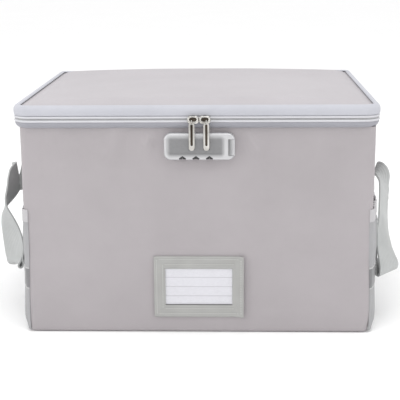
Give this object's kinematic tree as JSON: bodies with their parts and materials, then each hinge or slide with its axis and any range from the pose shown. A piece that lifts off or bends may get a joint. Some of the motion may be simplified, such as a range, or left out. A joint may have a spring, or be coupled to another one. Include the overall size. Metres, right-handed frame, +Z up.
{
  "type": "portable file box",
  "caption": "Lidded board box covered in coated cloth, closed by a zip whose pulls lie in a dial lock, with a label holder, side pockets and webbing handles.",
  "frame": {"origin": "middle of the base, on the floor", "axes": "+X to the right along the front, +Y to the back, +Z up; the lock faces -Y"},
  "size_m": [0.48, 0.3414, 0.2657],
  "materials": {
    "body_cloth": "matt silicone-coated glass cloth",
    "edge_binding": "smooth coated binding cloth",
    "zip_tape": "tightly woven zip tape",
    "zip_coil": "nylon coil",
    "board": "grey stiffening board",
    "padding": "insulating felt",
    "lining": "woven lining cloth",
    "rail": "moulded rail",
    "bright_metal": "bright nickel plate",
    "lock_metal": "satin silver lacquer",
    "steel": "plain steel",
    "dial": "moulded with pale numbers",
    "label_leather": "fine-grained synthetic leather",
    "label_film": "clear film",
    "card": "white card with ruled lines",
    "pocket_cloth": "plain woven pocket cloth",
    "elastic": "gathered elastic hem",
    "reflective": "reflective tape with pale edges",
    "webbing": "ribbed polyester webbing"
  },
  "bodies": {
    "box": {"base_cover": "body_cloth", "front_cover": "body_cloth", "back_cover": "body_cloth", "left_cover": "body_cloth", "right_cover": "body_cloth", "base_board": "board", "front_board": "board", "back_board": "board", "left_board": "board", "right_board": "board", "lining": "lining", "rim_binding": "edge_binding", "front_rail": "rail", "back_rail": "rail", "rail_rivets": "bright_metal", "lower_band": "edge_binding", "lower_zip_tape": "zip_tape", "lower_zip_coil": "zip_coil", "lower_hinge_strip": "edge_binding", "zip_end_tabs": "edge_binding", "lock_housing": "lock_metal", "lock_back_plate": "steel", "lock_screws": "bright_metal", "dial_shaft": "steel", "button_spring": "steel", "label_frame": "label_leather", "label_window": "label_film", "left_pocket": "pocket_cloth", "right_pocket": "pocket_cloth", "left_hem": "elastic", "right_hem": "elastic", "left_tape": "reflective", "right_tape": "reflective", "left_handle_ends": "webbing", "right_handle_ends": "webbing"},
    "lid": {"lid_board": "board", "lid_padding": "padding", "lid_cover": "body_cloth", "lid_lining": "lining", "lid_binding": "edge_binding", "upper_zip_tape": "zip_tape", "upper_zip_coil": "zip_coil", "upper_hinge_strip": "edge_binding"},
    "left_slider": {"left_slider": "bright_metal"},
    "right_slider": {"right_slider": "bright_metal"},
    "left_pull": {"left_pull": "bright_metal"},
    "right_pull": {"right_pull": "bright_metal"},
    "dial_1": {"dial_1": "dial"},
    "dial_2": {"dial_2": "dial"},
    "dial_3": {"dial_3": "dial"},
    "release_button": {"release_button": "lock_metal", "catch_bar": "steel"},
    "label_card": {"label_card": "card"},
    "left_handle": {"left_handle": "webbing"},
    "right_handle": {"right_handle": "webbing"}
  },
  "joints": [
    {"name": "lid_hinge", "type": "hinge", "parent": "box", "child": "lid", "pos_m": [0, 0.168, 0.248], "axis": [-1, 0, 0], "range_deg": [0, 200]},
    {"name": "left_slider_run", "type": "slide", "parent": "box", "child": "left_slider", "axis": [-1, 0, 0], "range_m": [0, 0.16]},
    {"name": "right_slider_run", "type": "slide", "parent": "box", "child": "right_slider", "axis": [1, 0, 0], "range_m": [0, 0.16]},
    {"name": "left_pull_swing", "type": "hinge", "parent": "left_slider", "child": "left_pull", "pos_m": [-0.004, -0.17255, 0.2495], "axis": [-1, 0, 0], "range_deg": [-8, 150]},
    {"name": "right_pull_swing", "type": "hinge", "parent": "right_slider", "child": "right_pull", "pos_m": [0.012, -0.17255, 0.2495], "axis": [-1, 0, 0], "range_deg": [-8, 150]},
    {"name": "dial_1_turn", "type": "hinge", "parent": "box", "child": "dial_1", "pos_m": [-0.0145, -0.1645, 0.2073], "axis": [1, 0, 0], "continuous": true},
    {"name": "dial_2_turn", "type": "hinge", "parent": "box", "child": "dial_2", "pos_m": [0.0003, -0.1645, 0.2073], "axis": [1, 0, 0], "continuous": true},
    {"name": "dial_3_turn", "type": "hinge", "parent": "box", "child": "dial_3", "pos_m": [0.0151, -0.1645, 0.2073], "axis": [1, 0, 0], "continuous": true},
    {"name": "release_button_push", "type": "slide", "parent": "box", "child": "release_button", "axis": [-1, 0, 0], "range_m": [0, 0.003], "stiffness_N_per_m": 400, "springref_m": -0.002, "deforming": ["button_spring"]},
    {"name": "label_card_slide", "type": "slide", "parent": "box", "child": "label_card", "axis": [1, 0, 0], "range_m": [0, 0.085]},
    {"name": "left_handle_swing", "type": "hinge", "parent": "box", "child": "left_handle", "pos_m": [-0.217, 0, 0.066], "axis": [0, -1, 0], "range_deg": [0, 30]},
    {"name": "right_handle_swing", "type": "hinge", "parent": "box", "child": "right_handle", "pos_m": [0.219, 0, 0.063], "axis": [0, 1, 0], "range_deg": [0, 30]}
  ]
}
